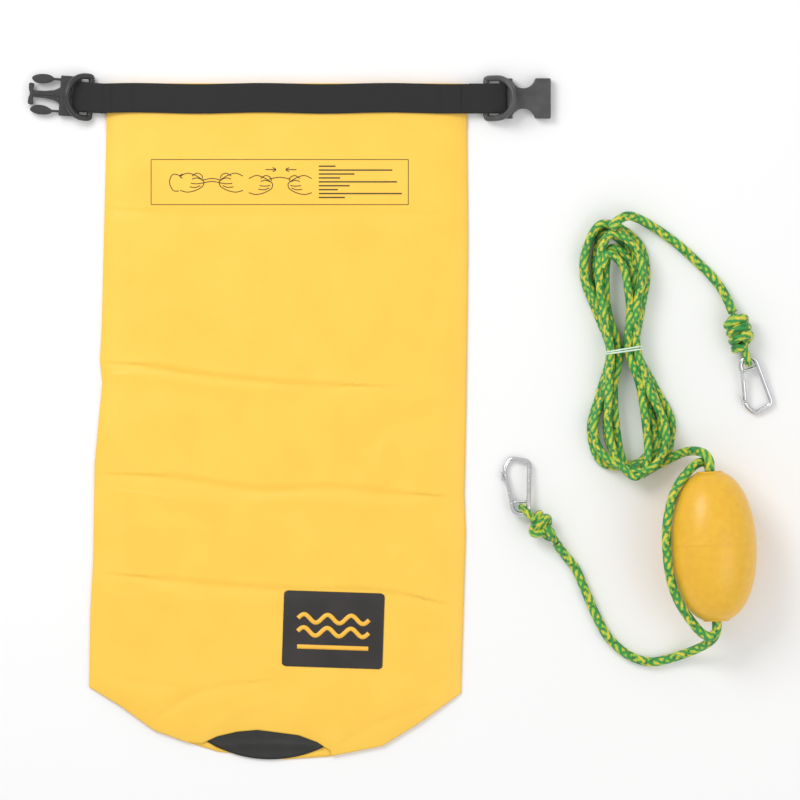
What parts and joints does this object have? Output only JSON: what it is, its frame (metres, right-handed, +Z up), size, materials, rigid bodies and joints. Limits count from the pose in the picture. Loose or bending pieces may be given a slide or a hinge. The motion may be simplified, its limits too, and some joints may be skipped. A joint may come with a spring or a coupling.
{
  "type": "roll-top dry bag with float line",
  "caption": "Yellow roll-top dry bag lying flat, with a coiled rope line, an egg float and two snap clips.",
  "frame": {"origin": "centre of the whole set's outline, on the surface it lies on", "axes": "+X along the mouth band towards the float line, +Y from the bag's base to its mouth, +Z up from the surface"},
  "size_m": [0.6296, 0.5799, 0.0734],
  "materials": {
    "bag_fabric": "satin",
    "base_fabric": "satin",
    "patch_film": "satin",
    "webbing": "matte",
    "black_plastic": "satin",
    "rope_braid": "satin",
    "tie_band": "satin",
    "float_foam": "satin",
    "polished_steel": "polished"
  },
  "bodies": {
    "bag": {"bag_tube": "bag_fabric", "bag_base": "base_fabric", "capacity_patch": "patch_film"},
    "mouth": {"bag_mouth": "bag_fabric", "mouth_band": "webbing"},
    "tab_l": {"tab_left": "webbing", "buckle_male": "black_plastic"},
    "tab_r": {"tab_right": "webbing", "buckle_female": "black_plastic"},
    "ring_l": {"ring_left": "black_plastic"},
    "ring_r": {"ring_right": "black_plastic"},
    "line": {"hank": "rope_braid", "hank_tie": "tie_band", "tail_upper": "rope_braid", "knot_upper": "rope_braid", "bight_upper": "rope_braid", "link_rope": "rope_braid", "float_strand": "rope_braid", "bore_ropes": "rope_braid", "tail_lower": "rope_braid", "knot_lower": "rope_braid", "bight_lower": "rope_braid"},
    "float": {"float_body": "float_foam"},
    "clip_u": {"upper_clip_body": "polished_steel", "upper_clip_pin": "polished_steel"},
    "gate_u": {"upper_clip_gate": "polished_steel"},
    "clip_l": {"lower_clip_body": "polished_steel", "lower_clip_pin": "polished_steel"},
    "gate_l": {"lower_clip_gate": "polished_steel"}
  },
  "joints": [
    {"name": "mouth_fold", "type": "hinge", "parent": "bag", "child": "mouth", "pos_m": [-0.0963, 0.245, 0.0125], "axis": [1, 0, 0], "range_deg": [0, 90]},
    {"name": "tab_left_bend", "type": "hinge", "parent": "mouth", "child": "tab_l", "pos_m": [-0.2504, 0.26858, 0.0125], "axis": [0.0698, 0.9976, 0], "range_deg": [0, 90]},
    {"name": "tab_right_bend", "type": "hinge", "parent": "mouth", "child": "tab_r", "pos_m": [0.0578, 0.2686, 0.0125], "axis": [0, -1, 0], "range_deg": [0, 90]},
    {"name": "ring_left_swing", "type": "hinge", "parent": "tab_l", "child": "ring_l", "pos_m": [-0.26167, 0.26937, 0.0048], "axis": [0.0698, 0.9976, 0], "range_deg": [0, 85]},
    {"name": "ring_right_swing", "type": "hinge", "parent": "tab_r", "child": "ring_r", "pos_m": [0.0723, 0.2686, 0.0048], "axis": [0, -1, 0], "range_deg": [0, 85]},
    {"name": "rope_set_lift", "type": "slide", "parent": "bag", "child": "line", "axis": [0, 0, 1], "range_m": [0, 0.1]},
    {"name": "float_spin", "type": "hinge", "parent": "line", "child": "float", "pos_m": [0.262, -0.1085, 0.0367], "axis": [-0.0471, 0.9989, 0], "continuous": true},
    {"name": "clip_upper_lift", "type": "hinge", "parent": "line", "child": "clip_u", "pos_m": [0.2919, 0.05, 0.0092], "axis": [-0.9563, -0.2924, 0], "range_deg": [0, 60]},
    {"name": "gate_upper_swing", "type": "hinge", "parent": "clip_u", "child": "gate_u", "pos_m": [0.28873, 0.03506, 0.0073], "axis": [0.0412, -0.1347, 0.99], "range_deg": [0, 25], "stiffness_Nm_per_rad": 0.02, "springref_deg": -17.19},
    {"name": "clip_lower_lift", "type": "hinge", "parent": "line", "child": "clip_l", "pos_m": [0.106, -0.08, 0.0092], "axis": [0.7071, 0.7071, 0], "range_deg": [0, 60]},
    {"name": "gate_lower_swing", "type": "hinge", "parent": "clip_l", "child": "gate_l", "pos_m": [0.09348, -0.06911, 0.00643], "axis": [0.1167, -0.1167, -0.9863], "range_deg": [0, 25], "stiffness_Nm_per_rad": 0.02, "springref_deg": -17.19}
  ]
}
